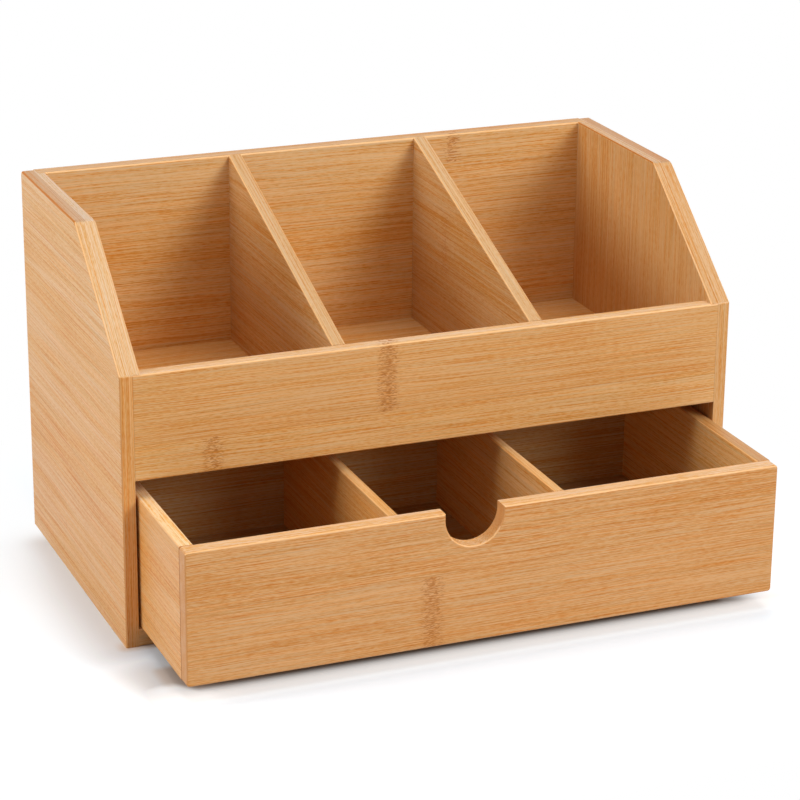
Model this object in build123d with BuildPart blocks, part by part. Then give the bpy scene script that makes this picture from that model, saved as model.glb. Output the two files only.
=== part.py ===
from build123d import *
import os

os.makedirs("parts", exist_ok=True)

# A tabletop bamboo organiser: an open, sloping upper tray with three bays over
# a full-width drawer with three bays and a finger notch. Millimetres, +Z up.
# The origin is the middle of the case's underside. The front faces -Y, and the
# drawer stands part-way out.

# ---------------------------------------------------------------- case sizes
case_width = 320.0
case_depth = 168.0
case_height = 194.0
rail_top = 138.0  # top of the front rail, and foot of the sides' slope
knee_depth = 69.0  # from the front face back to where the flat top begins

side_thick = 10.5
rebate_depth = 4.0  # cut from the sides' inner faces to house the other boards
rail_thick = 8.0
rail_height = 53.0
back_thick = 9.0
floor_thick = 9.0
shelf_thick = 7.0
shelf_step = 1.0  # the shelf's underside stands this far above the rail's edge

upper_divider_thick = 7.0
upper_left_x = -48.0
upper_right_x = 56.0

# -------------------------------------------------------------- drawer sizes
drawer_open = 70.0  # how far the drawer stands out
drawer_side_gap = 1.4
drawer_floor_gap = 0.4
drawer_back_gap = 0.5  # left behind the drawer when it is shut
drawer_height = 67.0
drawer_front_thick = 8.5
drawer_side_thick = 7.0
drawer_back_thick = 7.0

panel_thick = 3.0  # the drawer's thin bottom
panel_lift = 4.0  # from the drawer's lower edge up to the panel
panel_groove = 3.0
panel_play = 0.1

drawer_divider_thick = 5.0
drawer_left_x = -47.5
drawer_right_x = 38.0

notch_x = -9.4
notch_radius = 14.8
notch_depth = 18.0
notch_shoulder = 3.0

# ------------------------------------------------------------------- joinery
housing_depth = 2.0  # tongues and grooves that locate the dividers
housing_stop = 9.0  # the grooves end this far below the top edges

case_dowel_radius = 2.5
case_dowel_in_side = 4.0
case_dowel_in_board = 12.0
drawer_dowel_radius = 2.0
drawer_dowel_in_front = 5.0
drawer_dowel_in_side = 9.0
back_housing = 2.0  # the drawer's back is let this far into its sides
dowel_play = 0.1  # glue line round a dowel, and past each of its ends

# ------------------------------------------------------------- edge rounding
outer_round = 1.0
inner_round = 0.8
back_ease = 0.6  # chamfer behind the drawer front's top edge and notch
knee_round = 8.0
top_round = 2.5
brow_round = 1.8  # the sides' corner at the top of the rail
face_corner_round = 1.7  # corners of the drawer front seen from the front

# -------------------------------------------------------------- worked places
front_y = -case_depth / 2
back_y = case_depth / 2
rail_back_y = front_y + rail_thick
back_face_y = back_y - back_thick
outer_x = case_width / 2
wall_thick = side_thick - rebate_depth
board_half = outer_x - wall_thick  # half the length of the boards between the sides
shelf_bottom = rail_top - rail_height + shelf_step
shelf_top = shelf_bottom + shelf_thick

drawer_half = board_half - drawer_side_gap
drawer_face_y = front_y - drawer_open
drawer_front_back_y = drawer_face_y + drawer_front_thick
drawer_length = case_depth - back_thick - drawer_back_gap
drawer_end_y = drawer_face_y + drawer_length
drawer_back_face_y = drawer_end_y - drawer_back_thick
drawer_bottom = floor_thick + drawer_floor_gap
drawer_top = drawer_bottom + drawer_height
panel_bottom = drawer_bottom + panel_lift
panel_top = panel_bottom + panel_thick
drawer_inner_half = drawer_half - drawer_side_thick

LEFT, RIGHT = -1, 1


# -------------------------------------------------------------- shared helpers
def pair(low, high):
    """The places of two dowels along a joint, a quarter of its length from each end."""
    return [low + (high - low) * share for share in (0.25, 0.75)]


def middle(low, high):
    return (low + high) / 2


def slab(low, high, mode=Mode.ADD):
    """A rectangular block between two opposite corners, added to the part being built."""
    size = [b - a for a, b in zip(low, high)]
    centre = [middle(a, b) for a, b in zip(low, high)]
    with Locations(tuple(centre)):
        Box(*size, mode=mode)


def long_edges(part, axis, height):
    """The straight edges along an axis that lie at one height."""
    return [e for e in part.edges().filter_by(axis) if abs(e.center().Z - height) < 0.01]


def sockets(points, facing, radius, depth):
    """Blind dowel holes whose mouths lie at the points and face one way."""
    with Locations(*[Plane(origin=p, z_dir=facing) for p in points]):
        Hole(radius, depth)


def finish(part, name):
    part.label = name
    export_step(part, f"parts/{name}.step")


# Where the dowels cross from the sides into each board: (y, z) on the joint face.
rail_mid_y = middle(front_y, rail_back_y)
rail_pins = [(rail_mid_y, z) for z in pair(rail_top - rail_height, rail_top)]
shelf_pins = [(y, middle(shelf_bottom, shelf_top)) for y in pair(rail_back_y, back_face_y)]
floor_pins = [(y, floor_thick / 2) for y in pair(front_y, back_face_y)]
back_pins = [(middle(back_face_y, back_y), z) for z in pair(floor_thick, case_height)]
case_pins = {
    "rail_dowels": rail_pins,
    "shelf_dowels": shelf_pins,
    "floor_dowels": floor_pins,
    "back_dowels": back_pins,
}

drawer_pin_heights = pair(drawer_bottom, drawer_top)


# ------------------------------------------------------------------ side boards
def side_board(hand):
    """One sloping side, with the rebate that houses the rail, shelf, floor and back."""
    inward = -hand
    with BuildPart() as side:
        with BuildSketch(Plane.YZ.offset(hand * outer_x)):
            with BuildLine():
                upper = FilletPolyline(
                    (front_y, 0),
                    (front_y, rail_top),
                    (front_y + knee_depth, case_height),
                    (back_y, case_height),
                    (back_y, 0),
                    radius=[brow_round, knee_round, top_round],
                )
                Line(upper @ 1, upper @ 0)
            make_face()
        extrude(amount=inward * side_thick)
        faces = side.faces().filter_by(Axis.X).sort_by(Axis.X)
        outer, inner = (faces[0], faces[-1]) if hand == LEFT else (faces[-1], faces[0])
        above_foot = [e for e in outer.edges() if e.center().Z > 1]
        fillet(above_foot, radius=outer_round)
        slope_and_top = [e for e in inner.edges() if e.center().Z > rail_top - brow_round]
        fillet(slope_and_top, radius=inner_round)

        inner_x = hand * (outer_x - side_thick)
        with BuildSketch(Plane.YZ.offset(inner_x)):
            with Locations((middle(front_y, back_y), shelf_top / 2)):
                Rectangle(case_depth, shelf_top)
            with Locations((rail_mid_y, rail_top / 2)):
                Rectangle(rail_thick, rail_top)
            with Locations((middle(back_face_y, back_y), case_height / 2)):
                Rectangle(back_thick, case_height)
        extrude(amount=hand * rebate_depth, mode=Mode.SUBTRACT)

        mouths = [(hand * board_half, y, z) for pins in case_pins.values() for y, z in pins]
        sockets(mouths, (inward, 0, 0), case_dowel_radius, case_dowel_in_side)
    return side.part


side_left = side_board(LEFT)
finish(side_left, "side_left")
side_right = side_board(RIGHT)
finish(side_right, "side_right")


# --------------------------------------------------- boards between the sides
def end_sockets(pins):
    """Dowel holes in both ends of a board that runs from side to side."""
    for hand in (LEFT, RIGHT):
        mouths = [(hand * board_half, y, z) for y, z in pins]
        sockets(mouths, (hand, 0, 0), case_dowel_radius, case_dowel_in_board)


upper_dividers = {"upper_divider_left": upper_left_x, "upper_divider_right": upper_right_x}
drawer_dividers = {"drawer_divider_left": drawer_left_x, "drawer_divider_right": drawer_right_x}


def housings(places, thick, y_low, y_high, z_low, z_high):
    """Grooves for the dividers' tongues, stopped short of the board's top edge."""
    for x in places:
        low = (x - thick / 2, y_low, z_low)
        high = (x + thick / 2, y_high, z_high)
        slab(low, high, mode=Mode.SUBTRACT)


# Front rail: closes the upper bays in front, its ends let into the sides.
with BuildPart() as front_rail:
    slab((-board_half, front_y, rail_top - rail_height), (board_half, rail_back_y, rail_top))
    fillet(long_edges(front_rail, Axis.X, rail_top), radius=outer_round)
    fillet(long_edges(front_rail, Axis.X, rail_top - rail_height), radius=inner_round)
    end_sockets(rail_pins)
    housings(upper_dividers.values(), upper_divider_thick,
             rail_back_y - housing_depth, rail_back_y, shelf_top, rail_top - housing_stop)
finish(front_rail.part, "front_rail")

# Shelf: the floor of the upper bays, with a shallow groove under each divider.
with BuildPart() as shelf:
    slab((-board_half, rail_back_y, shelf_bottom), (board_half, back_face_y, shelf_top))
    end_sockets(shelf_pins)
    housings(upper_dividers.values(), upper_divider_thick,
             rail_back_y, back_face_y, shelf_top - housing_depth, shelf_top)
finish(shelf.part, "shelf")

# Floor: the bottom board that the drawer slides on.
with BuildPart() as floor_board:
    slab((-board_half, front_y, 0), (board_half, back_face_y, floor_thick))
    front_edges = [e for e in floor_board.edges().filter_by(Axis.X) if e.center().Y < rail_mid_y]
    fillet(front_edges, radius=inner_round)
    end_sockets(floor_pins)
finish(floor_board.part, "floor_board")

# Back: full height, its ends let into the sides.
with BuildPart() as back_board:
    slab((-board_half, back_face_y, 0), (board_half, back_y, case_height))
    fillet(long_edges(back_board, Axis.X, case_height), radius=outer_round)
    end_sockets(back_pins)
    housings(upper_dividers.values(), upper_divider_thick,
             back_face_y, back_face_y + housing_depth, shelf_top, case_height - housing_stop)
finish(back_board.part, "back_board")


# -------------------------------------------------------------------- dividers
def divider(x, thick, y_front, y_back, bottom, z_low, top_front, top_back):
    """A divider from its bottom edge up, with a stopped tongue at each end above z_low."""
    with BuildPart() as board:
        with BuildSketch(Plane.YZ.offset(x - thick / 2)):
            with BuildLine():
                Polyline((y_front, bottom), (y_front, top_front), (y_back, top_back),
                         (y_back, bottom), close=True)
            make_face()
            for y, top in ((y_front - housing_depth / 2, top_front),
                           (y_back + housing_depth / 2, top_back)):
                tongue_top = top - housing_stop
                with Locations((y, middle(z_low, tongue_top))):
                    Rectangle(housing_depth, tongue_top - z_low)
        extrude(amount=thick)
        top = board.faces().filter_by(lambda f: f.normal_at().Z > 0.5).sort_by(SortBy.AREA)[-1]
        long_top = [e for e in top.edges() if abs(e.center().X - x) > thick / 4]
        fillet(long_top, radius=inner_round)
    return board.part


for name, x in upper_dividers.items():
    finish(
        divider(x, upper_divider_thick, rail_back_y, back_face_y,
                shelf_top - housing_depth, shelf_top, rail_top, case_height),
        name,
    )

for name, x in drawer_dividers.items():
    finish(
        divider(x, drawer_divider_thick, drawer_front_back_y, drawer_back_face_y,
                panel_top, panel_top, drawer_top, drawer_top),
        name,
    )


# --------------------------------------------------------------- case dowels
def dowel_length(*depths):
    return sum(depths) - 2 * dowel_play


case_dowel_x = board_half + (case_dowel_in_side - case_dowel_in_board) / 2

for name, pins in case_pins.items():
    with BuildPart() as dowels:
        for hand in (LEFT, RIGHT):
            with Locations(*[(hand * case_dowel_x, y, z) for y, z in pins]):
                Cylinder(
                    case_dowel_radius - dowel_play,
                    dowel_length(case_dowel_in_side, case_dowel_in_board),
                    rotation=(0, 90, 0),
                )
    finish(dowels.part, name)


# --------------------------------------------------------------- drawer front
drawer_side_mid_x = drawer_half - drawer_side_thick / 2
panel_half = drawer_inner_half + panel_groove
groove_low = panel_bottom - panel_play
groove_high = panel_top + panel_play

with BuildPart() as drawer_front:
    with BuildSketch(Plane.XZ.offset(-drawer_face_y)) as face:
        with Locations((0, middle(drawer_bottom, drawer_top))):
            RectangleRounded(2 * drawer_half, drawer_height, face_corner_round)
        notch_centre = drawer_top - notch_depth + notch_radius
        with Locations((notch_x, notch_centre)):
            Circle(notch_radius, mode=Mode.SUBTRACT)
        with Locations((notch_x, notch_centre + notch_radius / 2)):
            Rectangle(2 * notch_radius, notch_radius, mode=Mode.SUBTRACT)
        shoulders = [v for v in face.vertices()
                     if abs(abs(v.X - notch_x) - notch_radius) < 0.01 and v.Z > drawer_top - 0.01]
        fillet(shoulders, radius=notch_shoulder)
    extrude(amount=-drawer_front_thick)
    front_face = drawer_front.faces().filter_by(Axis.Y).sort_by(Axis.Y)[0]
    fillet(front_face.edges(), radius=outer_round)
    back_face = drawer_front.faces().filter_by(Axis.Y).sort_by(Axis.Y)[-1]
    brow = [e for e in back_face.edges() if e.center().Z > drawer_bottom + drawer_height / 2
            and abs(e.center().X) < drawer_half - face_corner_round]
    chamfer(brow, length=back_ease)
    slab((-panel_half - panel_play, drawer_front_back_y - panel_groove - panel_play, groove_low),
         (panel_half + panel_play, drawer_front_back_y, groove_high), mode=Mode.SUBTRACT)
    housings(drawer_dividers.values(), drawer_divider_thick,
             drawer_front_back_y - housing_depth, drawer_front_back_y,
             panel_top, drawer_top - housing_stop)
    mouths = [(hand * drawer_side_mid_x, drawer_front_back_y, z)
              for hand in (LEFT, RIGHT) for z in drawer_pin_heights]
    sockets(mouths, (0, 1, 0), drawer_dowel_radius, drawer_dowel_in_front)
finish(drawer_front.part, "drawer_front")


# ----------------------------------------------------- drawer sides and back
def drawer_side(hand):
    """One drawer side: grooved for the thin bottom, drilled for the front, cut for the back."""
    outer = hand * drawer_half
    inner = hand * drawer_inner_half
    with BuildPart() as side:
        slab((min(outer, inner), drawer_front_back_y, drawer_bottom),
             (max(outer, inner), drawer_end_y, drawer_top))
        fillet(long_edges(side, Axis.Y, drawer_top), radius=inner_round)
        fillet(long_edges(side, Axis.Y, drawer_bottom), radius=inner_round)
        groove = hand * (panel_half + panel_play)
        slab((min(inner, groove), drawer_front_back_y, groove_low),
             (max(inner, groove), drawer_back_face_y + panel_groove + panel_play, groove_high),
             mode=Mode.SUBTRACT)
        front_mouths = [(hand * drawer_side_mid_x, drawer_front_back_y, z)
                        for z in drawer_pin_heights]
        sockets(front_mouths, (0, -1, 0), drawer_dowel_radius, drawer_dowel_in_side)
        housed = hand * (drawer_inner_half + back_housing)
        slab((min(inner, housed), drawer_back_face_y, drawer_bottom),
             (max(inner, housed), drawer_end_y, drawer_top), mode=Mode.SUBTRACT)
    return side.part


drawer_side_left = drawer_side(LEFT)
finish(drawer_side_left, "drawer_side_left")
drawer_side_right = drawer_side(RIGHT)
finish(drawer_side_right, "drawer_side_right")

# Back: its ends are housed in the sides, and its face is grooved for the bottom.
drawer_back_half = drawer_inner_half + back_housing

with BuildPart() as drawer_back:
    slab((-drawer_back_half, drawer_back_face_y, drawer_bottom),
         (drawer_back_half, drawer_end_y, drawer_top))
    fillet(long_edges(drawer_back, Axis.X, drawer_top), radius=inner_round)
    slab((-drawer_back_half, drawer_back_face_y, groove_low),
         (drawer_back_half, drawer_back_face_y + panel_groove + panel_play, groove_high),
         mode=Mode.SUBTRACT)
    housings(drawer_dividers.values(), drawer_divider_thick,
             drawer_back_face_y, drawer_back_face_y + housing_depth,
             panel_top, drawer_top - housing_stop)
finish(drawer_back.part, "drawer_back")

# Thin bottom, held in grooves on all four sides.
with BuildPart() as drawer_bottom_panel:
    slab((-panel_half, drawer_front_back_y - panel_groove, panel_bottom),
         (panel_half, drawer_back_face_y + panel_groove, panel_top))
finish(drawer_bottom_panel.part, "drawer_bottom")

# --------------------------------------------------------------- drawer dowels
with BuildPart() as drawer_front_dowels:
    mid_y = drawer_front_back_y + (drawer_dowel_in_side - drawer_dowel_in_front) / 2
    places = [(hand * drawer_side_mid_x, mid_y, z)
              for hand in (LEFT, RIGHT) for z in drawer_pin_heights]
    with Locations(*places):
        Cylinder(
            drawer_dowel_radius - dowel_play,
            dowel_length(drawer_dowel_in_side, drawer_dowel_in_front),
            rotation=(90, 0, 0),
        )
finish(drawer_front_dowels.part, "drawer_front_dowels")
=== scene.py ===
import math
from dataclasses import dataclass

import bpy
import bmesh
from bpy.props import FloatProperty, FloatVectorProperty, PointerProperty
from mathutils import Matrix, Vector


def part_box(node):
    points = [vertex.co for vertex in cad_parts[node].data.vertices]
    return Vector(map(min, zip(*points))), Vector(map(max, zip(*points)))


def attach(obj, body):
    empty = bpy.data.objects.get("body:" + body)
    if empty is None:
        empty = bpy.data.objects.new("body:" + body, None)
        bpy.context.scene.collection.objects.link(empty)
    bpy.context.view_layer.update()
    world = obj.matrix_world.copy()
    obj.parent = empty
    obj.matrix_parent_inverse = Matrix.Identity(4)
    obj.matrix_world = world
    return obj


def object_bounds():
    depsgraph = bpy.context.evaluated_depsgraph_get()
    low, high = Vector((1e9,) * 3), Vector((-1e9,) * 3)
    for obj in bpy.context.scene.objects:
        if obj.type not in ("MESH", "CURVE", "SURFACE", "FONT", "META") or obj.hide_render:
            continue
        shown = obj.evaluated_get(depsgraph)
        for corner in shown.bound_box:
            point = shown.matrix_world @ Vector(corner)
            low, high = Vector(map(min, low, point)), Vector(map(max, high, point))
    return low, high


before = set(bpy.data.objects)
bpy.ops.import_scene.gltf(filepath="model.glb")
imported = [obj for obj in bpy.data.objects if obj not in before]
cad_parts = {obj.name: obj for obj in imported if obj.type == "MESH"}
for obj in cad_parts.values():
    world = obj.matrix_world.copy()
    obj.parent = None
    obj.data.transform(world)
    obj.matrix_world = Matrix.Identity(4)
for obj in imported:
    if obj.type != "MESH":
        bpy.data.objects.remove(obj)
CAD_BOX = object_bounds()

bl_info = {
    "name": "Bamboo Drawer Organiser",
    "version": (1, 0, 0),
    "blender": (4, 5, 0),
    "location": "3D View > Sidebar > Organiser",
    "description": "Gives a bamboo tabletop organiser its laminated grain and a plain studio",
    "category": "Object",
}

MM = 0.001

X, Y, Z = 0, 1, 2
LEFT, RIGHT = (-1, 0, 0), (1, 0, 0)
FRONT, REAR = (0, -1, 0), (0, 1, 0)
TOP = (0, 0, 1)

# The sides and the tray's dividers slope down to the rail alike. Lengths are millimetres.
SLOPE_RUN = 69.0
SLOPE_RISE = 56.0
SLOPE_LENGTH = math.hypot(SLOPE_RUN, SLOPE_RISE)
SLOPE = (0, -SLOPE_RISE / SLOPE_LENGTH, SLOPE_RUN / SLOPE_LENGTH)

# Tints that several boards share, each against the fibres' own colours. Most of them are painted light and
# shade.
# painted light: the shelf and the drawer's dividers, paler and less red
INTERIOR_PAINTED_LIGHT = (1.05, 1.16, 1.25)
# painted shade: the drawer's back and bottom, darker and less red
SHADED = (0.76, 0.95, 1.18)
# painted shade: the tray's dividers
DIVIDER_PAINTED_SHADE = (0.85, 0.98, 1.2)
# painted shade: the inward faces of the sides
INWARD_PAINTED_SHADE = (0.92, 1.01, 1.1)
DRAWER_SIDE = (1.06, 1.07, 1.03)
# painted sheen: the drawer front's top
TOP_PAINTED_SHEEN = (1.14, 1.38, 2.0)

# The two plies of a side, as they show along its flat top: their own tones, with painted sheen in them,
# paler on the inner ply.
OUTER_PLY = 5.7                     # millimetres
OUTER_BAND = (0.775, 0.775, 0.87)
INNER_BAND = (0.93, 1.16, 1.8)

# How squarely a face looks one way, as a cosine. Each pair says where a change begins and ends.
FACING = (0.8, 0.95)
FLAT_TOP = (0.9, 0.97)
SAWN_END = (0.75, 0.95)
SAWN_STRENGTH = 0.6
EDGE_FACING = 0.6                   # below this a point is on an edge of its board

# How the fibres stray and the strips differ. Scales are per millimetre.
SWAY = 2.4                          # millimetres
SWAY_SCALE = (0.012, 0.05)          # along and across
STRIP_SHIFT = 500.0                 # millimetres that one strip's pattern may lie from the next one's
STRIP_CONTRAST = 0.1
STRIP_WARMTH = 0.12
FIBRE_STOPS = (0.0, 0.26, 0.5, 0.8)     # where the deep, warm, body and pale colours stand
DASH_SPAN = (0.6, 0.74)             # where the noise turns to a dash
HUE_SPAN = (0.36, 0.64)             # where the noise turns from the cool tint to the red one
COOL_FIBRE = (0.94, 0.99, 1.06)
RED_FIBRE = (1.06, 1.01, 0.92)

# The layers that show on the edges of a board whose grain is wrapped round.
EDGE_LAYER_SCALE = (1.4, 0.004)     # per millimetre, across and along
EDGE_LAYER_WEIGHT = 1.4
EDGE_PALER = 0.04

# Cane nodes. Scales are per millimetre, lengths are millimetres.
NODE_STRAY = 8.0
NODE_STRAY_SCALE = 1.4
NODE_BEND = 3.0
NODE_BEND_SCALE = (0.22, 0.16)
NODE_FLECK_SCALE = (0.34, 2.0, 0.5)
NODE_FADE = (0.5, 9.0)              # from the node's middle, along the fibres
NODE_EDGE = (-1.5, 0.3)             # from the strip's edge, outwards
NODE_FLECK_SPAN = (0.6, 0.7)        # where the noise turns to a fleck
NODE_FULL = 0.6                     # the cover at which the flecks are darkest
NODE_CROWDING = 0.16
NODE_DARKNESS = 0.75
NODE_HAZE = 0.08

# Glue lines: half their width in millimetres, and their strength.
STRIP_GLUE = (0.25, 0.22)
PLY_GLUE = (0.3, 0.12)
SEAM = (0.1, 0.45)                  # millimetres between which a joint's hairline fades
SEAM_STRENGTH = 0.35

# Eased edges: how far a point has turned away from every face, and how far it looks up. Those that look up
# get a painted highlight.
EASED = (0.02, 0.17)
EASED_STRENGTH = 0.8
LOOKS_UP = (0.2, 0.45)
LOOKS_ENDWAYS = (0.15, 0.35)
ARRIS_PAINTED_SHADE = (0.86, 0.58, 0.11)     # painted shade on the sides' level outer edges
DARK_TURN = (0.01, 0.08)
SHINE = 0.5
DARK_SHINE = 0.15

# Relief and gloss of the lacquer over the fibres.
RELIEF_DEPTH = 0.0001               # metres
RELIEF_STRENGTH = 0.1
LINE_RELIEF = 0.6
DASH_RELIEF = -0.4
GLUE_RELIEF = -1.2
GLOSS_SPAN = (0.3, 0.7)             # where a streak turns from dull to shiny
DULLER = 0.07
SHINIER = -0.04

# Soft square lights: where each one hangs and how wide it is, in metres.
KEY_LIGHT = ((1.6, -2.3, 1.7), 1.6)
TOP_LIGHT = ((0.0, 0.0, 3.6), 2.4)
SIDE_LIGHT = ((-3.0, 0.2, 1.3), 1.6)

SENSOR_WIDTH = 36                   # millimetres
CLIP_START = 0.05                   # metres

# The floor. Distances are metres, and each pair says where a change begins and ends.
FLOOR_HALF = 6.0
LIT_MARGIN = 0.03                   # the shadow ends this much sooner on the right and behind
DRAWER_MARGIN = 0.012               # the drawer's shadow ends this much further in on the left
GLOW_RISE = (0.0, 0.034)            # out from the object
OPEN_RISE = (0.03, 0.15)            # out from the object
REAR_RISE = (0.0, 0.02)             # out from the object, behind it
REAR_OPEN = (-0.02, 0.1)            # along the case, from front to rear
REAR_LEFT = 0.02
CONTACT = (0.0, 0.006)              # out from the object: the painted shadow where the floor meets it
FRONT_FADE = (-0.035, -0.01)        # ahead of the case's front
CASE_FADE = (0.0, 0.01)             # behind the case's front
LEFT_FADE = (-0.015, 0.008)         # from the case's left side
BELOW_LEFT = (0.001, 0.013)         # from the drawer's left end: the dark painted shadow under the drawer
LIP_GLOW = (-0.018, -0.01)          # painted light under the drawer's front, and ahead of it above 0
LIP_GLOW_END = (-0.003, 0.005)
LIP_PAINT = (-0.02, -0.012)
AHEAD_PAINT = (-0.006, 0.008)
LIP_GLOW_LEVEL = 0.42
LIP_GLOW_DROP = 0.22
CORNER_SHIFT = 0.01                 # the glow comes this much sooner at the drawer's left end
# The floor's paints: painted shadow where it meets the object and under the drawer, paler at the lip, and
# cooler near the wood.
AHEAD_SHADE = (0.8, 0.85, 0.9)
BESIDE_SHADE = (0.82, 0.84, 0.86)
CONTACT_SHADE = (0.74, 0.65, 0.58)
BELOW_SHADE = (0.36, 0.26, 0.19)
LIP_SHADE = (0.83, 0.82, 0.81)
COOL_GLOW = (0.87, 0.95, 1.0)
WARM_GLOW = (0.96, 0.945, 0.93)


def screen(red, green, blue):
    """The scene's linear colour for one given as it looks on screen, 0 to 255."""
    def channel(value):
        value /= 255
        return value / 12.92 if value <= 0.04045 else ((value + 0.055) / 1.055) ** 2.4
    return (channel(red), channel(green), channel(blue))


PEG_PORE = screen(172, 132, 86)
PEG_WOOD = screen(219, 186, 138)
PEG_SCALE = (90, 700, 700)          # per metre: the pores run along the peg
PEG_SPAN = (0.2, 0.8)               # from pore to wood
PEG_ROUGHNESS = (0.8, 0.6)          # of a pore and of the wood
PEG_RELIEF = 0.3


# ---------------------------------------------------------------- settings
class BambooSettings(bpy.types.PropertyGroup):
    """Colours and finish of the laminated bamboo."""
    deep: FloatVectorProperty(
        name="Deep fibre", description="Colour of the darkest fibres",
        subtype="COLOR", size=3, min=0, max=1, default=screen(194, 108, 14))
    warm: FloatVectorProperty(
        name="Warm fibre", description="Colour of the thin darker streaks",
        subtype="COLOR", size=3, min=0, max=1, default=screen(205, 133, 53))
    body: FloatVectorProperty(
        name="Body", description="Main colour of the bamboo",
        subtype="COLOR", size=3, min=0, max=1, default=screen(212, 154, 91))
    pale: FloatVectorProperty(
        name="Pale fibre", description="Colour of the palest fibres",
        subtype="COLOR", size=3, min=0, max=1, default=screen(217, 168, 117))
    node: FloatVectorProperty(
        name="Cane node", description="Colour of the flecks where the cane had its nodes",
        subtype="COLOR", size=3, min=0, max=1, default=screen(174, 100, 12))
    # A painted highlight: the eased edges that face upwards are paler.
    painted_edge_highlight: FloatVectorProperty(
        name="Upper arris", description="Colour of the eased edges that face upwards",
        subtype="COLOR", size=3, min=0, max=1, default=screen(238, 186, 124))
    end: FloatVectorProperty(
        name="End grain", description="Colour of the sawn ends of the strips",
        subtype="COLOR", size=3, min=0, max=1, default=screen(190, 131, 76))
    arris: FloatVectorProperty(
        name="Upright arris", description="Colour of the eased edges that don't face upwards",
        subtype="COLOR", size=3, min=0, max=1, default=screen(200, 136, 72))
    glue: FloatVectorProperty(
        name="Glue line", description="Colour of the hairline between strips and at joints",
        subtype="COLOR", size=3, min=0, max=1, default=screen(150, 88, 36))
    ply: FloatProperty(
        name="Ply", description="Thickness of one layer of strips",
        subtype="DISTANCE", unit="LENGTH", min=0.001, max=0.02, default=0.0043)
    contrast: FloatProperty(
        name="Grain contrast", description="How far the fibres part from the body colour",
        subtype="FACTOR", min=0, max=3, default=1.0)
    roughness: FloatProperty(
        name="Roughness", description="Roughness of the satin lacquer",
        subtype="FACTOR", min=0.05, max=1, default=0.45)


class StageSettings(bpy.types.PropertyGroup):
    """Camera, lights and floor."""
    camera_place: FloatVectorProperty(
        name="Camera", description="Where the camera stands",
        subtype="XYZ", unit="LENGTH", size=3, default=(-0.49868, -1.24978, 0.56877))
    camera_turn: FloatProperty(
        name="Camera turn", description="How far right of straight ahead the camera looks",
        subtype="ANGLE", unit="ROTATION", default=0.39014)
    camera_dip: FloatProperty(
        name="Camera dip", description="How far below level the camera looks",
        subtype="ANGLE", unit="ROTATION", default=0.34995)
    camera_roll: FloatProperty(
        name="Camera roll", description="How far the camera leans to the right",
        subtype="ANGLE", unit="ROTATION", default=0.00939)
    camera_lens: FloatProperty(
        name="Lens", description="Focal length in millimetres, on a 36 mm sensor",
        unit="CAMERA", min=10, max=400, default=124.64)
    key_power: FloatProperty(
        name="Key light", description="Power of the large soft light in front, in watts",
        unit="POWER", min=0, max=900, default=70.0)
    top_power: FloatProperty(
        name="Top light", description="Power of the soft light overhead, in watts",
        unit="POWER", min=0, max=900, default=46.0)
    side_power: FloatProperty(
        name="Side light", description="Power of the soft light on the left, in watts",
        unit="POWER", min=0, max=900, default=60.0)
    surround: FloatProperty(
        name="Surround", description="Strength of the even white surround",
        min=0, max=3, default=0.25)
    reflection: FloatProperty(
        name="Reflection", description="Strength of the surround in the lacquer's reflections",
        min=0, max=3, default=1.0)
    floor_white: FloatProperty(
        name="Floor", description="Whiteness of the floor",
        subtype="FACTOR", min=0, max=1, default=0.55)
    floor_glow: FloatProperty(
        name="Floor glow", description="Light that the floor adds outside the object's shadow",
        min=0, max=1, default=0.36)


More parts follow.
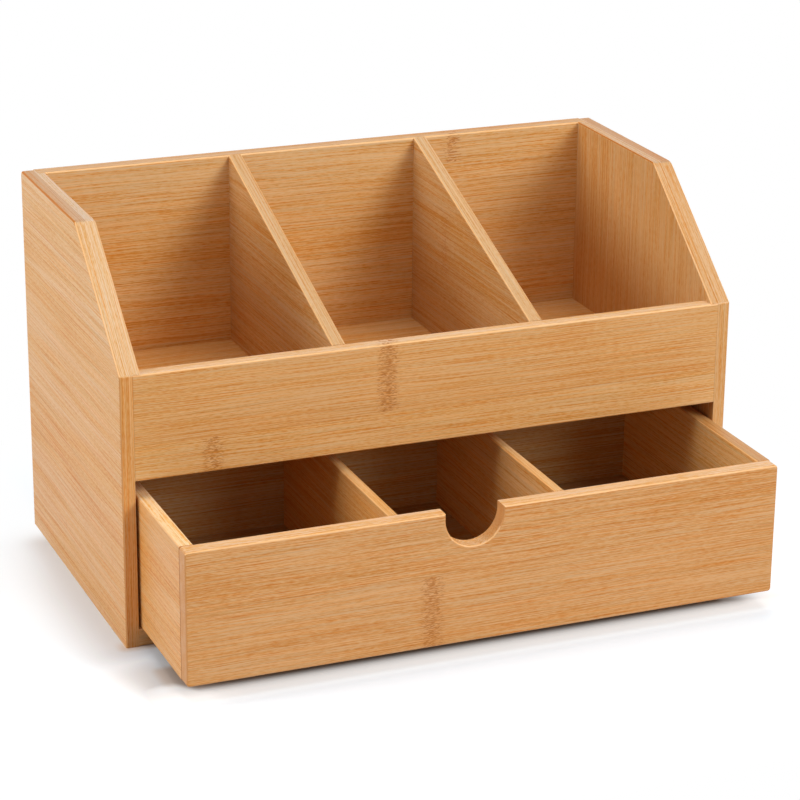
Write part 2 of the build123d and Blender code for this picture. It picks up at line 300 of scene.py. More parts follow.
# ---------------------------------------------------------- shader helpers
class NodeTree:
    """A node tree, with short calls for the nodes used here."""

    def __init__(self, tree):
        self.tree = tree
        self.tree.nodes.clear()

    def node(self, kind, **settings):
        node = self.tree.nodes.new(kind)
        for key, value in settings.items():
            setattr(node, key, value)
        return node

    def plug(self, socket, value):
        if isinstance(value, bpy.types.NodeSocket):
            self.tree.links.new(value, socket)
        else:
            socket.default_value = value

    def math(self, operation, *values, clamp=False):
        node = self.node("ShaderNodeMath", operation=operation, use_clamp=clamp)
        for socket, value in zip(node.inputs, values):
            self.plug(socket, value)
        return node.outputs[0]

    def times(self, *values):
        """The product of several values."""
        result = values[0]
        for value in values[1:]:
            result = self.math("MULTIPLY", result, value)
        return result

    def total(self, *terms):
        """The sum of several values, each given with its weight."""
        result = 0.0
        for value, weight in terms:
            result = self.math("MULTIPLY_ADD", value, weight, result)
        return result

    def most(self, *values):
        """The largest of several values."""
        result = values[0]
        for value in values[1:]:
            result = self.math("MAXIMUM", result, value)
        return result

    def gap(self, value, middle):
        """How far a value lies from a middle one."""
        return self.math("ABSOLUTE", self.math("SUBTRACT", value, middle))

    def centred(self, value):
        """A factor from 0 to 1, moved to lie evenly round 0."""
        return self.math("SUBTRACT", value, 0.5)

    def pick(self, factor, first, second):
        """The first value where the factor is 0, the second where it is 1."""
        node = self.node("ShaderNodeMix", data_type="FLOAT", clamp_factor=True)
        self.plug(node.inputs[0], factor)
        self.plug(node.inputs[2], first)
        self.plug(node.inputs[3], second)
        return node.outputs[0]

    def combine(self, *parts):
        node = self.node("ShaderNodeCombineXYZ")
        for socket, value in zip(node.inputs, parts):
            self.plug(socket, value)
        return node.outputs[0]

    def scaled(self, values, scales):
        """Several values as one vector, each times its scale."""
        return self.combine(*(self.math("MULTIPLY", *pair) for pair in zip(values, scales)))

    def separate(self, vector):
        node = self.node("ShaderNodeSeparateXYZ")
        self.plug(node.inputs[0], vector)
        return list(node.outputs)

    def noise(self, vector, detail=2.0, rough=0.5):
        node = self.node("ShaderNodeTexNoise", noise_dimensions="3D")
        self.plug(node.inputs["Vector"], vector)
        node.inputs["Scale"].default_value = 1.0
        node.inputs["Detail"].default_value = detail
        node.inputs["Roughness"].default_value = rough
        return node.outputs["Fac"]

    def random(self, vector):
        """Three random factors that change wherever the vector does."""
        node = self.node("ShaderNodeTexWhiteNoise", noise_dimensions="3D")
        self.plug(node.inputs["Vector"], vector)
        split = self.node("ShaderNodeSeparateColor")
        self.plug(split.inputs[0], node.outputs["Color"])
        return list(split.outputs)

    def band(self, value, low, high, at_low=0.0, at_high=1.0):
        """A smooth step from one value to another."""
        node = self.node("ShaderNodeMapRange", interpolation_type="SMOOTHSTEP")
        for key, number in (("From Min", low), ("From Max", high),
                            ("To Min", at_low), ("To Max", at_high)):
            node.inputs[key].default_value = number
        self.plug(node.inputs["Value"], value)
        return node.outputs["Result"]

    def ramp(self, value, stops):
        node = self.node("ShaderNodeValToRGB")
        elements = node.color_ramp.elements
        while len(elements) < len(stops):
            elements.new(0.5)
        for element, (place, colour) in zip(elements, stops):
            element.position = place
            element.color = (*colour, 1)
        self.plug(node.inputs[0], value)
        return node.outputs[0]

    def colour_mix(self, factor, first, second, blend_type="MIX"):
        node = self.node("ShaderNodeMix", data_type="RGBA", blend_type=blend_type, clamp_factor=True)
        self.plug(node.inputs[0], factor)
        for socket, value in ((node.inputs[6], first), (node.inputs[7], second)):
            self.plug(socket, value if isinstance(value, bpy.types.NodeSocket) else (*value, 1))
        return node.outputs[2]

    def blend(self, factor, first, second):
        """The first colour where the factor is 0, the second where it is 1."""
        return self.colour_mix(factor, first, second)

    def tinted(self, factor, colour, tint):
        """The colour multiplied by a tint where the factor is 1."""
        return self.colour_mix(factor, colour, tint, "MULTIPLY")


class Shader(NodeTree):
    """A new material and its node tree."""

    def __init__(self, name):
        self.material = bpy.data.materials.new(name)
        self.material.use_nodes = True
        super().__init__(self.material.node_tree)
        self.out = self.node("ShaderNodeOutputMaterial")

    def surface(self, colour, roughness, height, relief_strength, shine=SHINE):
        """A surface with fine relief in its shading."""
        node = self.node("ShaderNodeBsdfPrincipled")
        node.inputs["IOR"].default_value = 1.5
        self.plug(node.inputs["Specular IOR Level"], shine)
        self.plug(node.inputs["Base Color"], colour)
        self.plug(node.inputs["Roughness"], roughness)
        relief = self.node("ShaderNodeBump")
        relief.inputs["Strength"].default_value = relief_strength
        relief.inputs["Distance"].default_value = RELIEF_DEPTH
        self.plug(relief.inputs["Height"], height)
        self.plug(node.inputs["Normal"], relief.outputs[0])
        self.plug(self.out.inputs["Surface"], node.outputs[0])
        return self.material


# ---------------------------------------------------------- bamboo boards
@dataclass
class Layer:
    """One layer of the grain: noise drawn out along the fibres. Lengths are millimetres."""
    length: float               # of one mark
    width: float                # of one mark
    seed: float
    weight: float = 1.0         # how far it makes the wood paler, or darker below 0
    detail: float = 0.0
    rough: float = 0.5


CLOUDS = Layer(220.0, 22.0, seed=0.0, weight=0.36)
STREAKS = Layer(190.0, 4.6, seed=7.0, weight=0.22)
LINES = Layer(90.0, 0.85, seed=13.0, weight=0.34)
THREADS = Layer(60.0, 0.34, seed=19.0, weight=2.0, detail=1.0, rough=0.8)
SPECKS = Layer(3.6, 0.42, seed=29.0, weight=1.1, detail=1.0, rough=0.7)
DASHES = Layer(80.0, 0.8, seed=23.0, weight=-0.06)
HUES = Layer(70.0, 0.42, seed=41.0, detail=1.0, rough=0.7)


@dataclass
class Board:
    """How one board is laid up. Lengths are millimetres."""
    node: str
    grain: int                  # axis that the fibres run along
    across: int                 # axis across the strips
    strip: float = 20.0         # width of a strip
    start: float = 0.0          # where one strip begins
    knots: tuple = ()           # (place along, low edge, high edge, strength)
    seams: tuple = ()           # (axis, place) of joints that show as a hairline
    seed: float = 0.0
    broad: float = 1.0          # strength of the wide streaks
    tint: tuple = (1.0, 1.0, 1.0)   # the board's colour against the fibres' own; inside the case, painted light and shade
    faces: tuple = ()           # (direction, tint): painted light and shade on the faces that look one way
    upper: tuple = ()           # (low, high, tint): painted light and shade, turning to this tint between these heights
    wrapped: bool = False       # the lines on the board's edges follow the edges
    crossply: float = 0.0       # depth from the outer face past which the fibres run crossways
    sloping: bool = False       # the board has the sloping top edge
    turned: tuple = ()          # axes whose plane holds a curved cut's walls


class Bamboo(Shader):
    """Laminated bamboo for one board: strips, cane nodes, glue lines, end grain, eased edges with a painted
    highlight, and tints that paint light and shade.
    """

    def __init__(self, settings, board):
        super().__init__(board.node + "_bamboo")
        self.settings = settings
        self.board = board
        coords = self.node("ShaderNodeTexCoord")
        geometry = self.node("ShaderNodeNewGeometry")
        self.place = [self.math("MULTIPLY", part, 1 / MM)
                      for part in self.separate(coords.outputs["Object"])]
        self.facing = self.separate(geometry.outputs["Normal"])
        self.flat = [self.math("ABSOLUTE", part) for part in self.facing]
        self.find_directions()
        self.find_strips()
        self.streaks = self.fibres(STREAKS)
        self.lines = self.fibres(LINES)
        self.dashes = self.band(self.fibres(DASHES), *DASH_SPAN)
        self.glued = self.glue_lines()

    def find_directions(self):
        """Where a point lies along the fibres, across them and through the board."""
        board, place = self.board, self.place
        self.through_axis = 3 - board.grain - board.across
        along, across, through = (place[axis] for axis in (board.grain, board.across, self.through_axis))
        self.low, high = ([value / MM for value in corner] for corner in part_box(board.node))
        if board.crossply:
            outer = max(high[X], -self.low[X])
            self.depth = self.math("SUBTRACT", outer, self.math("ABSOLUTE", place[X]))
            self.inner = self.math("GREATER_THAN", self.depth, board.crossply)
            along, across = self.pick(self.inner, along, across), self.pick(self.inner, across, along)
        self.on_edge = 0.0
        if board.wrapped:
            # On the edges the lines follow the edge: along it is square to the normal.
            self.on_edge = self.math("LESS_THAN", self.flat[X], EDGE_FACING)
            edgewise = self.math("SUBTRACT", self.math("MULTIPLY", place[Z], self.facing[Y]),
                                 self.math("MULTIPLY", place[Y], self.facing[Z]))
            along = self.pick(self.on_edge, along, edgewise)
            across = self.pick(self.on_edge, across, place[X])
            through = self.pick(self.on_edge, through, 0.0)
        self.along, self.across, self.through = along, across, through

    def find_strips(self):
        """Each strip of each ply has its own tone, and its fibres stop at the glue line."""
        board = self.board
        self.strip_place = self.math("DIVIDE", self.math("SUBTRACT", self.across, board.start), board.strip)
        ply_place = self.math("DIVIDE", self.math("SUBTRACT", self.through, self.low[self.through_axis]),
                              self.settings.ply / MM)
        self.tone, shift, self.warmth = self.random(self.combine(
            self.math("FLOOR", self.strip_place), self.math("FLOOR", ply_place), board.seed))
        self.moved = self.math("MULTIPLY_ADD", shift, STRIP_SHIFT, self.along)
        sway = self.noise(self.scaled((self.along, self.across, board.seed), (*SWAY_SCALE, 1.0)), 1.0)
        self.swayed = self.math("MULTIPLY_ADD", sway, SWAY, self.across)

    def fibres(self, layer):
        return self.noise(self.combine(
            self.math("MULTIPLY_ADD", self.moved, 1 / layer.length, self.board.seed + layer.seed),
            self.math("MULTIPLY", self.swayed, 1 / layer.width),
            self.math("MULTIPLY", self.through, 1 / layer.width)), layer.detail, layer.rough)

    def glue_lines(self):
        """How strongly the hairlines between strips and between plies show."""
        reach, strength = STRIP_GLUE
        between = self.math("PINGPONG", self.strip_place, 0.5)
        glued = self.band(between, 0.0, reach / self.board.strip, strength, 0.0)
        if self.board.crossply:
            reach, strength = PLY_GLUE
            joint = self.gap(self.depth, self.board.crossply)
            glued = self.most(glued, self.band(joint, 0.0, reach, strength, 0.0))
        return glued

    def fibre_colour(self):
        """The fibres' own colours, from the darkest lines to the palest."""
        board, settings = self.board, self.settings
        strength = settings.contrast
        value = self.total(
            (self.centred(self.fibres(CLOUDS)), CLOUDS.weight * strength * board.broad),
            (self.centred(self.streaks), STREAKS.weight * strength * board.broad),
            (self.centred(self.lines), LINES.weight * strength),
            (self.centred(self.fibres(THREADS)), THREADS.weight * strength),
            (self.centred(self.fibres(SPECKS)), SPECKS.weight * strength),
            (self.dashes, DASHES.weight * strength),
            (self.centred(self.tone), STRIP_CONTRAST * strength),
            (self.on_edge, EDGE_PALER))
        if board.wrapped:
            across, along = EDGE_LAYER_SCALE
            layers = self.noise(self.scaled((board.seed, self.place[X], self.along), (1.0, across, along)),
                                1.0, 0.7)
            value = self.total((value, 1.0), (self.times(self.centred(layers), self.on_edge),
                                              EDGE_LAYER_WEIGHT))
        value = self.math("ADD", value, 0.5, clamp=True)
        colours = (settings.deep, settings.warm, settings.body, settings.pale)
        colour = self.ramp(value, list(zip(FIBRE_STOPS, colours)))
        colour = self.blend(self.band(self.warmth, 0.0, 1.0, 0.0, STRIP_WARMTH), colour, settings.warm)
        hue = self.band(self.fibres(HUES), *HUE_SPAN)
        return self.tinted(1.0, colour, self.blend(hue, COOL_FIBRE, RED_FIBRE))

    def tint_board(self, colour):
        """The board's own tint, the tints of its faces and of its top heights, and its plies' bands. The
        tints by face and by height are painted light and shade.
        """
        board = self.board
        colour = self.tinted(1.0, colour, board.tint)
        for direction, tint in board.faces:
            towards = self.total(*zip(self.facing, direction))
            colour = self.tinted(self.band(towards, *FACING), colour, tint)
        if board.upper:
            bottom, top, tint = board.upper
            colour = self.tinted(self.band(self.place[Z], bottom, top), colour, tint)
        if board.crossply:
            # The two plies show as two bands along the flat top, tinted with painted sheen as well.
            flat_top = self.band(self.facing[Z], *FLAT_TOP)
            outer = self.math("SUBTRACT", 1.0, self.inner)
            colour = self.tinted(self.times(flat_top, self.inner), colour, INNER_BAND)
            colour = self.tinted(self.times(flat_top, outer), colour, OUTER_BAND)
        return colour

    def add_cane_nodes(self, colour):
        """A short haze of small dark flecks across one strip."""
        board, along, across = self.board, self.along, self.across
        stray = self.noise(self.scaled((0.0, across, board.seed), (1.0, NODE_STRAY_SCALE, 1.0)), 2.0)
        strayed = self.math("MULTIPLY_ADD", stray, NODE_STRAY, along)
        bend = self.noise(self.scaled((along, across, board.seed), (*NODE_BEND_SCALE, 1.0)), 1.0)
        bent = self.math("MULTIPLY_ADD", bend, NODE_BEND, across)
        grit = self.noise(self.scaled((along, bent, self.through), NODE_FLECK_SCALE), 1.0, 0.6)
        spots = []
        fade_from, fade_by = NODE_EDGE
        for middle, bottom, top, strength in board.knots:
            half = (top - bottom) / 2
            lengthwise = self.gap(strayed, middle + NODE_STRAY / 2)
            crosswise = self.gap(across, (bottom + top) / 2)
            spots.append(self.times(self.band(lengthwise, *NODE_FADE, strength, 0.0),
                                    self.band(crosswise, half + fade_from, half + fade_by, 1.0, 0.0)))
        cover = self.most(*spots)
        # The flecks crowd together towards the middle.
        crowded = self.math("MULTIPLY_ADD", cover, NODE_CROWDING, grit)
        flecks = self.times(self.band(crowded, *NODE_FLECK_SPAN),
                            self.band(cover, 0.0, NODE_FULL, 0.0, NODE_DARKNESS))
        colour = self.blend(self.times(cover, NODE_HAZE), colour, self.settings.node)
        return self.blend(flecks, colour, self.settings.node)

    def ease_edges(self, colour):
        """The eased edges, and how much they shine: they are where one face turns to the next. Those that
        face up get a painted highlight, and the sides' level outer edges painted shade with less shine.
        """
        board, facing, settings = self.board, self.facing, self.settings
        faces = list(self.flat)
        if board.sloping:
            faces.append(self.math("ABSOLUTE", self.total((facing[Y], SLOPE[Y]), (facing[Z], SLOPE[Z]))))
        if board.turned:
            squares = (self.times(facing[axis], facing[axis]) for axis in board.turned)
            faces.append(self.math("SQRT", self.math("ADD", *squares)))
        turn = self.math("SUBTRACT", 1.0, self.most(*faces))
        upwards = self.band(facing[Z], *LOOKS_UP)
        if board.crossply:
            level = self.times(upwards, self.band(self.flat[Y], *LOOKS_ENDWAYS, 1.0, 0.0))
            upwards = self.math("SUBTRACT", upwards, level)
        # Eased edges that look up are painted with a highlight.
        colour = self.blend(self.band(turn, *EASED, 0.0, EASED_STRENGTH), colour,
                            self.blend(upwards, settings.arris, settings.painted_edge_highlight))
        if not board.crossply:
            return colour, SHINE
        # Painted shade on the sides' level outer edges, which shine less there.
        painted_edge_shade = self.times(self.band(turn, *DARK_TURN), level)
        return self.tinted(painted_edge_shade, colour, ARRIS_PAINTED_SHADE), self.band(painted_edge_shade, 0.0, 1.0, SHINE, DARK_SHINE)

    def finish(self):
        """The finished material."""
        board, settings = self.board, self.settings
        colour = self.tint_board(self.fibre_colour())
        if board.knots:
            colour = self.add_cane_nodes(colour)
        if not board.wrapped:
            sawn = self.band(self.flat[board.grain], *SAWN_END, 0.0, SAWN_STRENGTH)
            colour = self.blend(sawn, colour, settings.end)
        colour = self.blend(self.glued, colour, settings.glue)
        colour, shine = self.ease_edges(colour)
        for axis, at in board.seams:
            hairline = self.band(self.gap(self.place[axis], at), *SEAM, SEAM_STRENGTH, 0.0)
            colour = self.blend(hairline, colour, settings.glue)
        height = self.total((self.lines, LINE_RELIEF), (self.dashes, DASH_RELIEF),
                            (self.glued, GLUE_RELIEF))
        gloss = self.band(self.streaks, *GLOSS_SPAN,
                          settings.roughness + DULLER, settings.roughness + SHINIER)
        return self.surface(colour, gloss, height, RELIEF_STRENGTH, shine)


def turned_peg():
    """Plain turned hardwood for the pegs: pale, with short pores along the peg."""
    shader = Shader("peg_wood")
    coords = shader.node("ShaderNodeTexCoord")
    mapping = shader.node("ShaderNodeMapping")
    mapping.inputs["Scale"].default_value = PEG_SCALE
    shader.plug(mapping.inputs["Vector"], coords.outputs["Object"])
    pores = shader.noise(mapping.outputs[0], 3.0, 0.6)
    colour = shader.ramp(pores, [(0.25, PEG_PORE), (0.6, PEG_WOOD)])
    roughness = shader.band(pores, *PEG_SPAN, *PEG_ROUGHNESS)
    return shader.surface(colour, roughness, pores, PEG_RELIEF)


def dress(node, material):
    """Gives a node of the frame its finish."""
    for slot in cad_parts[node].material_slots:
        slot.material = material


def dress_boards(context, boards):
    for board in boards:
        dress(board.node, Bamboo(context.scene.bamboo_finish, board).finish())


# ---------------------------------------------------------------- operators
class FinishSides(bpy.types.Operator):
    """Finish the two sloping sides: fibres level outside, upright inside"""
    bl_idname = "organiser.finish_sides"
    bl_label = "Finish the Sides"

    def execute(self, context):
        layup = dict(strip=32.0, wrapped=True, crossply=OUTER_PLY, broad=0.45, sloping=True)
        boards = [
            # The tints by face and by height are painted light and shade, set to how each face is lit.
            Board("side_left", Y, Z, start=20.0, seed=3.0, **layup,
                  knots=((-20.0, 20.0, 52.0, 0.25),), upper=(10.0, 190.0, (1.03, 1.1, 1.2)),
                  faces=((RIGHT, INWARD_PAINTED_SHADE), (LEFT, (1.02, 1.06, 1.07)), (FRONT, (1.07, 1.03, 0.9)),
                         (SLOPE, (0.98, 1.12, 1.4)))),
            Board("side_right", Y, Z, start=8.0, seed=11.0, **layup,
                  faces=((LEFT, INWARD_PAINTED_SHADE), (FRONT, (1.05, 1.14, 1.22)), (SLOPE, (0.91, 1.02, 1.25)))),
        ]
        dress_boards(context, boards)
        return {"FINISHED"}


class FinishTray(bpy.types.Operator):
    """Finish the rail, back, shelf, floor and dividers of the case"""
    bl_idname = "organiser.finish_tray"
    bl_label = "Finish the Case Boards"

    def execute(self, context):
        divider = dict(strip=34.0, wrapped=True, sloping=True, tint=DIVIDER_PAINTED_SHADE)
        # The tints of the dividers and the shelf, and those by face and by height, are painted light and
        # shade.
        boards = [
            Board("front_rail", X, Z, strip=35.0, start=68.0, seed=24.0, broad=0.6,
                  tint=(1.1, 1.2, 1.24), upper=(102.0, 104.0, (0.965, 0.93, 0.9)),
                  faces=((TOP, (1.22, 1.48, 2.2)),), seams=((X, -153.5), (X, 153.5)),
                  knots=((-25.6, 103.0, 139.0, 1.0), (-114.5, 84.0, 103.0, 0.85))),
            Board("back_board", X, Z, strip=33.0, start=3.0, seed=31.0, tint=(1.08, 1.24, 1.35),
                  faces=((TOP, (0.82, 0.75, 0.72)), (REAR, (0.98, 0.87, 0.8))),
                  knots=((75.0, 178.0, 195.0, 0.7),)),
            Board("shelf", X, Y, strip=25.0, start=0.0, seed=41.0, tint=INTERIOR_PAINTED_LIGHT,
                  knots=((60.0, -50.0, -25.0, 0.8), (-90.0, 0.0, 25.0, 0.8))),
            Board("floor_board", X, Y, strip=25.0, start=5.0, seed=51.0,
                  knots=((-60.0, -70.0, -45.0, 0.8), (110.0, 5.0, 30.0, 0.8))),
            Board("upper_divider_left", Y, Z, start=90.0, seed=61.0, **divider),
            Board("upper_divider_right", Y, Z, start=96.0, seed=71.0, **divider,
                  knots=((30.0, 130.0, 164.0, 0.5),)),
        ]
        dress_boards(context, boards)
        return {"FINISHED"}


class FinishDrawer(bpy.types.Operator):
    """Finish the drawer's front, sides, back, panel and dividers"""
    bl_idname = "organiser.finish_drawer"
    bl_label = "Finish the Drawer"

    def execute(self, context):
        layup = dict(strip=34.0, start=9.4)     # the strips start at the drawer's lower edge
        boards = [
            # The tints of the back, the bottom and the dividers, and those by face, are painted light and
            # shade.
            Board("drawer_front", X, Z, strip=37.0, start=9.4, seed=81.0, turned=(X, Z),
                  knots=((-30.5, 9.0, 46.4, 1.0),), faces=((TOP, TOP_PAINTED_SHEEN),)),
            Board("drawer_side_left", Y, Z, seed=91.0, tint=DRAWER_SIDE, **layup,
                  faces=((TOP, (1.28, 1.65, 2.4)),)),
            Board("drawer_side_right", Y, Z, seed=101.0, tint=DRAWER_SIDE, **layup,
                  faces=((TOP, (0.75, 0.73, 0.68)), (LEFT, (1.1, 1.25, 1.35)))),
            Board("drawer_back", X, Z, seed=111.0, tint=SHADED, **layup),
            Board("drawer_bottom", X, Y, strip=25.0, start=0.0, seed=121.0, tint=SHADED,
                  knots=((-20.0, -75.0, -50.0, 0.8), (90.0, -125.0, -100.0, 0.8))),
            Board("drawer_divider_left", Y, Z, seed=131.0, wrapped=True, tint=INTERIOR_PAINTED_LIGHT, **layup),
            Board("drawer_divider_right", Y, Z, seed=141.0, wrapped=True, tint=INTERIOR_PAINTED_LIGHT, **layup),
        ]
        dress_boards(context, boards)
        return {"FINISHED"}


class FinishPegs(bpy.types.Operator):
    """Finish the hidden pegs of every joint"""
    bl_idname = "organiser.finish_pegs"
    bl_label = "Finish the Pegs"

    def execute(self, context):
        material = turned_peg()
        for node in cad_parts:
            if node.endswith("_dowels"):
                dress(node, material)
        return {"FINISHED"}


class SetStage(bpy.types.Operator):
    """Set up the floor, the surround, the lights and the camera"""
    bl_idname = "organiser.set_stage"
    bl_label = "Set the Stage"

    def execute(self, context):
        settings = context.scene.organiser_stage
        context.scene.view_settings.view_transform = "Standard"
        lay_floor(context, settings)
        paint_surround(context, settings)
        hang_light(context, "key_light", *KEY_LIGHT, settings.key_power)
        hang_light(context, "top_light", *TOP_LIGHT, settings.top_power)
        hang_light(context, "side_light", *SIDE_LIGHT, settings.side_power)
        place_camera(context, settings)
        return {"FINISHED"}


# -------------------------------------------------------------------- stage
def lay_floor(context, settings):
    """A wide white floor. It rides on the drawer, so that its painted shadow can follow the drawer."""
    mesh = bpy.data.meshes.new("studio_floor")
    shape = bmesh.new()
    bmesh.ops.create_grid(shape, x_segments=1, y_segments=1, size=FLOOR_HALF)
    shape.to_mesh(mesh)
    shape.free()
    mesh.materials.append(FloorFinish(settings).finish())
    floor = bpy.data.objects.new("studio_floor", mesh)
    context.scene.collection.objects.link(floor)
    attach(floor, "drawer")


class FloorFinish(Shader):
    """A white floor with a painted shadow near the object, on top of its cast one, that reads as the
    background does further out.
    """

    def __init__(self, settings):
        super().__init__("studio_floor")
        self.settings = settings
        rays = self.node("ShaderNodeLightPath")
        self.seen = self.most(rays.outputs["Is Camera Ray"], rays.outputs["Is Glossy Ray"],
                              rays.outputs["Is Transmission Ray"])
        # The floor's own coordinates move with the drawer, and Position stays with the case.
        coords = self.node("ShaderNodeTexCoord")
        geometry = self.node("ShaderNodeNewGeometry")
        self.by_drawer = self.separate(coords.outputs["Object"])
        self.by_case = self.separate(geometry.outputs["Position"])
        self.find_shadow()

    def beyond(self, place, low, high):
        """How far a point of the floor lies outside an upright box from one corner to another."""
        squares = []
        for axis in (X, Y):
            off = self.gap(place[axis], (low[axis] + high[axis]) / 2)
            out = self.math("MAXIMUM", self.math("SUBTRACT", off, (high[axis] - low[axis]) / 2), 0.0)
            squares.append(self.times(out, out))
        return self.math("SQRT", self.math("ADD", *squares))

    def find_shadow(self):
        """How far a point lies outside the shadow's foot, and how far ahead of the drawer."""
        low, high = CAD_BOX
        self.case_left = low.x
        self.case_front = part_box("side_left")[0].y
        self.drawer_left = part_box("drawer_front")[0].x
        drawer_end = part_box("drawer_back")[1].y
        lit = Vector((LIT_MARGIN, LIT_MARGIN, 0))
        case = self.beyond(self.by_case, Vector((low.x, self.case_front, 0)), high - lit)
        front = self.beyond(self.by_drawer, Vector((self.drawer_left, low.y, 0)),
                            Vector((high.x, self.case_front, 0)) - lit)
        drawer = self.beyond(self.by_drawer, Vector((self.drawer_left + DRAWER_MARGIN, low.y, 0)),
                             Vector((high.x - LIT_MARGIN, drawer_end, 0)))
        self.away = self.math("MINIMUM", self.math("MINIMUM", case, front), drawer)
        self.ahead = self.math("SUBTRACT", low.y, self.by_drawer[Y])
        self.right_of_case = self.from_case(X, self.case_left, LEFT_FADE)

    def from_case(self, axis, start, span, *ends):
        """A smooth step over a span that is measured from a place on the case."""
        return self.band(self.by_case[axis], start + span[0], start + span[1], *ends)

    def glow(self):
        """The light that lifts the floor, strongest out of the shadow and at the drawer's lip."""
        corner = self.from_case(X, self.drawer_left, (0.0, DRAWER_MARGIN), CORNER_SHIFT, 0.0)
        lip = self.math("SUBTRACT",
                        self.band(self.math("ADD", self.ahead, corner), *LIP_GLOW, 0.0, LIP_GLOW_LEVEL),
                        self.band(self.ahead, *LIP_GLOW_END, 0.0, LIP_GLOW_DROP))
        clear = self.most(self.times(lip, self.right_of_case),
                          self.times(self.band(self.away, *GLOW_RISE), self.settings.floor_glow))
        return self.times(clear, self.seen)

    def paint(self):
        """The floor's colour, to the camera alone, and the glow's colour.

        Near the wood the floor takes up its colour, so it is painted cooler there; where it meets the
        object and under the drawer it is painted darker, as shadow."""
        painted_contact_shadow = self.times(self.band(self.away, *CONTACT, 1.0, 0.0),
                              self.from_case(Y, self.case_front, CASE_FADE, 1.0, 0.0))
        below = self.times(painted_contact_shadow, self.from_case(X, self.drawer_left, BELOW_LEFT))
        lip = self.times(self.right_of_case, self.band(self.ahead, *LIP_PAINT))
        out = self.times(self.right_of_case, self.band(self.ahead, *AHEAD_PAINT))
        shade = self.blend(self.from_case(Y, self.case_front, FRONT_FADE, 1.0, 0.0),
                           AHEAD_SHADE, BESIDE_SHADE)
        # Painted shadow where the floor meets the object and under the drawer, paler at the drawer's lip.
        for cover, colour in ((painted_contact_shadow, CONTACT_SHADE), (below, BELOW_SHADE),
                              (lip, LIP_SHADE), (out, AHEAD_SHADE)):
            shade = self.blend(cover, shade, colour)
        shade = self.blend(self.seen, (self.settings.floor_white,) * 3, shade)
        return shade, self.blend(self.math("SUBTRACT", lip, out), COOL_GLOW, WARM_GLOW)

    def open_floor(self):
        """Where the floor is plain white: further out, and sooner behind the case on the left."""
        rearward = self.times(self.from_case(Y, 0.0, REAR_OPEN, 0.0, 0.9),
                              self.from_case(X, self.case_left, (0.0, REAR_LEFT), 1.0, 0.0),
                              self.band(self.away, *REAR_RISE))
        return self.most(self.band(self.away, *OPEN_RISE), rearward)

    def finish(self):
        """The finished material."""
        matt = self.node("ShaderNodeBsdfDiffuse")
        lift = self.node("ShaderNodeEmission")
        shade, tint = self.paint()
        self.plug(matt.inputs["Color"], shade)
        self.plug(lift.inputs["Color"], tint)
        self.plug(lift.inputs["Strength"], self.glow())
        shaded = self.node("ShaderNodeAddShader")
        self.plug(shaded.inputs[0], matt.outputs[0])
        self.plug(shaded.inputs[1], lift.outputs[0])
        plain = self.node("ShaderNodeEmission")
        mixed = self.node("ShaderNodeMixShader")
        self.plug(mixed.inputs[0], self.times(self.open_floor(), self.seen))
        self.plug(mixed.inputs[1], shaded.outputs[0])
        self.plug(mixed.inputs[2], plain.outputs[0])
        self.plug(self.out.inputs["Surface"], mixed.outputs[0])
        return self.material


def paint_surround(context, settings):
    """An even surround that is white to the camera and in reflections."""
    world = bpy.data.worlds.new("studio_surround")
    world.use_nodes = True
    tree = NodeTree(world.node_tree)
    rays = tree.node("ShaderNodeLightPath")
    seen = tree.most(rays.outputs["Is Camera Ray"], rays.outputs["Is Transmission Ray"])
    level = tree.pick(seen, settings.surround, 1.0)
    level = tree.pick(rays.outputs["Is Glossy Ray"], level, settings.reflection)
    background = tree.node("ShaderNodeBackground")
    background.inputs["Color"].default_value = (1, 1, 1, 1)
    tree.plug(background.inputs["Strength"], level)
    output = tree.node("ShaderNodeOutputWorld")
    tree.plug(output.inputs["Surface"], background.outputs[0])
    context.scene.world = world


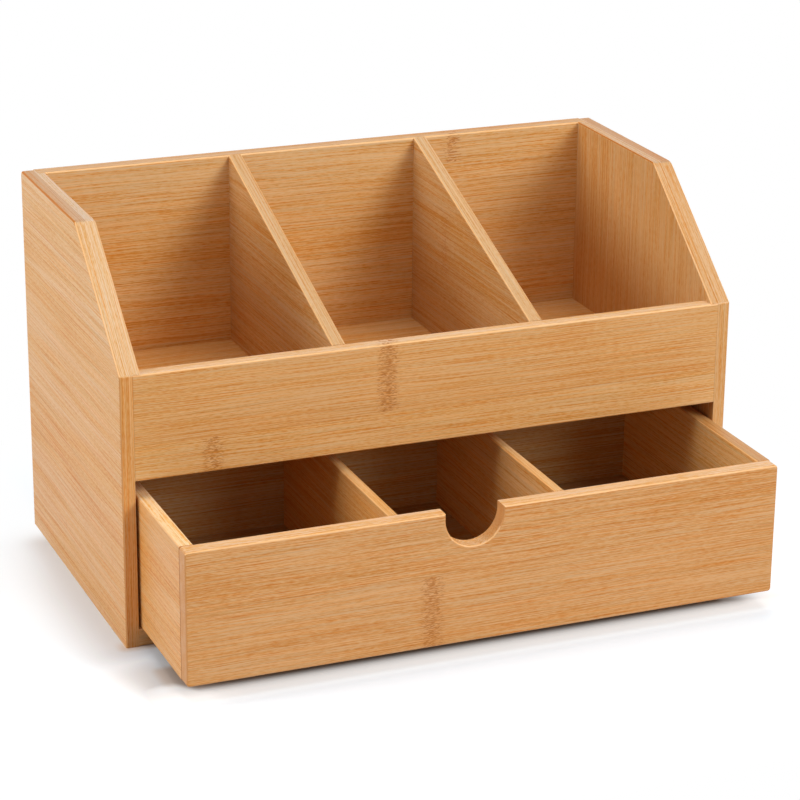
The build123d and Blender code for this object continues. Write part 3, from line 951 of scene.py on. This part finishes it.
def hang_light(context, name, place, size, power):
    """A square soft light that faces the middle of the object."""
    data = bpy.data.lights.new(name, "AREA")
    data.shape = "SQUARE"
    data.size = size
    data.energy = power
    lamp = bpy.data.objects.new(name, data)
    low, high = CAD_BOX
    away = Vector(place) - (low + high) / 2
    lamp.matrix_world = Matrix.Translation(place) @ away.to_track_quat("Z", "Y").to_matrix().to_4x4()
    context.scene.collection.objects.link(lamp)


def place_camera(context, settings):
    """The camera stands above and to the left of the front."""
    turn, dip, roll = settings.camera_turn, settings.camera_dip, settings.camera_roll
    forward = Vector((math.sin(turn) * math.cos(dip), math.cos(turn) * math.cos(dip), -math.sin(dip)))
    right = Vector((math.cos(turn), -math.sin(turn), 0))
    up = right.cross(forward)
    leaned_right = right * math.cos(roll) + up * math.sin(roll)
    leaned_up = up * math.cos(roll) - right * math.sin(roll)
    axes = Matrix((leaned_right, leaned_up, -forward)).transposed().to_4x4()
    data = bpy.data.cameras.new("studio_camera")
    data.lens = settings.camera_lens
    data.sensor_width = SENSOR_WIDTH
    data.clip_start = CLIP_START
    camera = bpy.data.objects.new("studio_camera", data)
    camera.matrix_world = Matrix.Translation(settings.camera_place) @ axes
    context.scene.collection.objects.link(camera)
    context.scene.camera = camera


# ------------------------------------------------------------------- panel
STEPS = (FinishSides, FinishTray, FinishDrawer, FinishPegs, SetStage)


class OrganiserPanel(bpy.types.Panel):
    """Settings and steps of the organiser"""
    bl_idname = "VIEW3D_PT_organiser"
    bl_label = "Organiser"
    bl_space_type = "VIEW_3D"
    bl_region_type = "UI"
    bl_category = "Organiser"

    def draw(self, context):
        scene = context.scene
        for settings in (scene.bamboo_finish, scene.organiser_stage):
            box = self.layout.box()
            for name in settings.__annotations__:
                box.prop(settings, name)
        for step in STEPS:
            self.layout.operator(step.bl_idname)


CLASSES = (BambooSettings, StageSettings, *STEPS, OrganiserPanel)


def register():
    for item in CLASSES:
        bpy.utils.register_class(item)
    bpy.types.Scene.bamboo_finish = PointerProperty(type=BambooSettings)
    bpy.types.Scene.organiser_stage = PointerProperty(type=StageSettings)


def unregister():
    del bpy.types.Scene.organiser_stage
    del bpy.types.Scene.bamboo_finish
    for item in reversed(CLASSES):
        bpy.utils.unregister_class(item)


def main():
    register()
    for step in STEPS:
        group, name = step.bl_idname.split(".")
        getattr(getattr(bpy.ops, group), name)()


if __name__ == "__main__":
    main()
